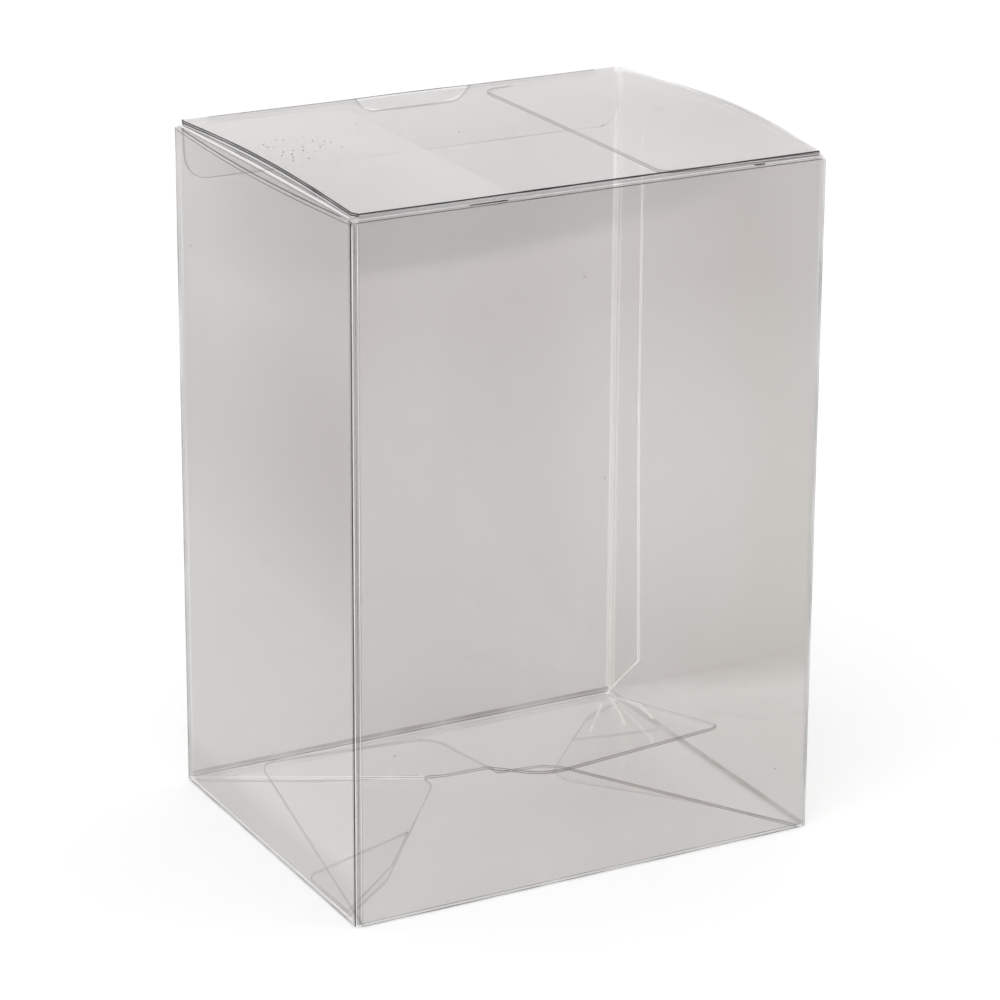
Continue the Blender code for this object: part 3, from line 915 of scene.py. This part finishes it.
def patch(name, corners, node, toward, parts=8):
    """A grid between four corners, laid on the film."""
    near_left, near_right, far_right, far_left = (Vector(corner) for corner in corners)
    work = bmesh.new()
    rows = []
    for row in range(parts + 1):
        left = near_left.lerp(far_left, row / parts)
        right = near_right.lerp(far_right, row / parts)
        places = laid([left.lerp(right, column / parts) for column in range(parts + 1)], node, toward)
        rows.append([work.verts.new(place) for place in places])
    for lower, upper in zip(rows, rows[1:]):
        for column in range(min(len(lower), len(upper)) - 1):
            work.faces.new((lower[column], lower[column + 1], upper[column + 1], upper[column]))
    mesh = bpy.data.meshes.new(name)
    work.to_mesh(mesh)
    work.free()
    return mesh


def scatter(name, corners, density, grain, seed, node, toward):
    """Dust over a patch of the film, so many grains to a square metre."""
    values = {"Density": density, "Grain": grain, "Seed": seed, "Finish": speck_grey}
    base = patch(name + "_patch", corners, node, toward)
    grow(name, base, dust_tree, values, BODIES[node])


EDGE = 5 * MM
wall_low, wall_high = 8 * MM, 150 * MM
front_patch = [
    (LEFT + EDGE, FRONT, wall_low),
    (RIGHT - EDGE, FRONT, wall_low),
    (RIGHT - EDGE, FRONT, wall_high),
    (LEFT + EDGE, FRONT, wall_high),
]
scatter("front_wall_dust", front_patch, 1500.0, 0.14 * MM, 4, "box", (0, 1, 0))
left_patch = [
    (LEFT, BACK - EDGE, wall_low),
    (LEFT, FRONT + EDGE, wall_low),
    (LEFT, FRONT + EDGE, wall_high),
    (LEFT, BACK - EDGE, wall_high),
]
scatter("left_wall_dust", left_patch, 1500.0, 0.14 * MM, 9, "box", to_right)
lid_patch = [
    (LEFT + EDGE, FRONT + EDGE, HEIGHT),
    (RIGHT - EDGE, FRONT + EDGE, HEIGHT),
    (RIGHT - EDGE, BACK - EDGE, HEIGHT),
    (LEFT + EDGE, BACK - EDGE, HEIGHT),
]
scatter("lid_dust", lid_patch, 2500.0, 0.13 * MM, 2, "lid", to_floor)
touched_patch = [
    (-53 * MM, -6 * MM, HEIGHT),
    (-36 * MM, -6 * MM, HEIGHT),
    (-36 * MM, 16 * MM, HEIGHT),
    (-53 * MM, 16 * MM, HEIGHT),
]
scatter("lid_touched_dust", touched_patch, 160000.0, 0.13 * MM, 3, "lid", to_floor)


# Studio

FLOOR_REACH = 12.0
FLOOR_TONE = 0.8
FLOOR_LIFT = 0.30
WORLD_LIGHT = 0.8
WORLD_SEEN = 1.0

# The camera as fitted to the box's corners
CAMERA_PLACE = (-0.3993, -0.7437, 0.3805)
CAMERA_AHEAD = (0.4508, 0.8368, -0.3106)
CAMERA_UP = (0.1425, 0.2760, 0.9505)
SENSOR = 36.0
LENS_TO_SENSOR = 3.911
LENS_SHIFT = -0.12


def build_floor():
    """A white floor that shows its own tone a little lifted where it is looked at."""
    mesh = bpy.data.meshes.new("floor")
    reach = FLOOR_REACH
    corners = [(-reach, -reach, 0), (reach, -reach, 0), (reach, reach, 0), (-reach, reach, 0)]
    mesh.from_pydata(corners, [], [(0, 1, 2, 3)])
    floor = bpy.data.objects.new("floor", mesh)
    scene.collection.objects.link(floor)
    material, tree, out = new_material("white floor")
    path = tree.add("ShaderNodeLightPath")
    seen = tree.math("ADD", path.outputs["Is Camera Ray"], path.outputs["Is Glossy Ray"])
    seen = tree.math("ADD", seen, path.outputs["Is Transmission Ray"], clamp=True)
    cloth = tree.add("ShaderNodeBsdfDiffuse", {0: (FLOOR_TONE, FLOOR_TONE, FLOOR_TONE, 1)})
    shown = tree.math("MULTIPLY", seen, FLOOR_LIFT)
    lift = tree.add("ShaderNodeEmission", {0: (1, 1, 1, 1), 1: shown})
    both = tree.add("ShaderNodeAddShader", {0: cloth.outputs[0], 1: lift.outputs[0]})
    tree.link(both.outputs[0], out.inputs[0])
    mesh.materials.append(material)


def build_world():
    """Even studio light, white where it is looked at."""
    world = bpy.data.worlds.new("studio")
    scene.world = world
    world.use_nodes = True
    world.node_tree.nodes.clear()
    tree = Tree(world.node_tree)
    path = tree.add("ShaderNodeLightPath")
    seen = tree.math("ADD", path.outputs["Is Camera Ray"], path.outputs["Is Glossy Ray"])
    seen = tree.math("ADD", seen, path.outputs["Is Transmission Ray"], clamp=True)
    strength = tree.add("ShaderNodeMix", {0: seen, 2: WORLD_LIGHT, 3: WORLD_SEEN}, data_type="FLOAT")
    glow = tree.add("ShaderNodeBackground", {0: (1, 1, 1, 1), 1: strength.outputs[0]})
    out = tree.add("ShaderNodeOutputWorld")
    tree.link(glow.outputs[0], out.inputs[0])


def add_lamp(name, place, aim, width, power):
    lamp = bpy.data.lights.new(name, "AREA")
    lamp.shape = "SQUARE"
    lamp.size = width
    lamp.energy = power
    holder = bpy.data.objects.new(name, lamp)
    scene.collection.objects.link(holder)
    holder.location = place
    holder.rotation_euler = (Vector(aim) - Vector(place)).to_track_quat("-Z", "Y").to_euler()


def build_camera():
    lens = bpy.data.cameras.new("camera")
    camera = bpy.data.objects.new("camera", lens)
    scene.collection.objects.link(camera)
    ahead = Vector(CAMERA_AHEAD).normalized()
    right = ahead.cross(Vector(CAMERA_UP)).normalized()
    up = right.cross(ahead)
    turn = Matrix((right, up, -ahead)).transposed()
    camera.matrix_world = Matrix.Translation(CAMERA_PLACE) @ turn.to_4x4()
    lens.sensor_width = SENSOR
    lens.lens = LENS_TO_SENSOR * SENSOR
    lens.shift_y = LENS_SHIFT
    lens.clip_start = 0.05
    lens.clip_end = 50.0
    scene.camera = camera


build_floor()
build_world()
box_middle = (0, 0, 0.08)
add_lamp("soft key", (-0.9, -0.7, 1.5), box_middle, 1.2, 7.0)
add_lamp("soft fill", (1.2, -0.4, 1.1), box_middle, 1.2, 2.0)
build_camera()
scene.view_settings.view_transform = "Standard"

# Few turns of light between the sheets, but a path through every layer of film
scene.cycles.max_bounces = 3
scene.cycles.diffuse_bounces = 1
scene.cycles.glossy_bounces = 2
scene.cycles.transparent_max_bounces = 32
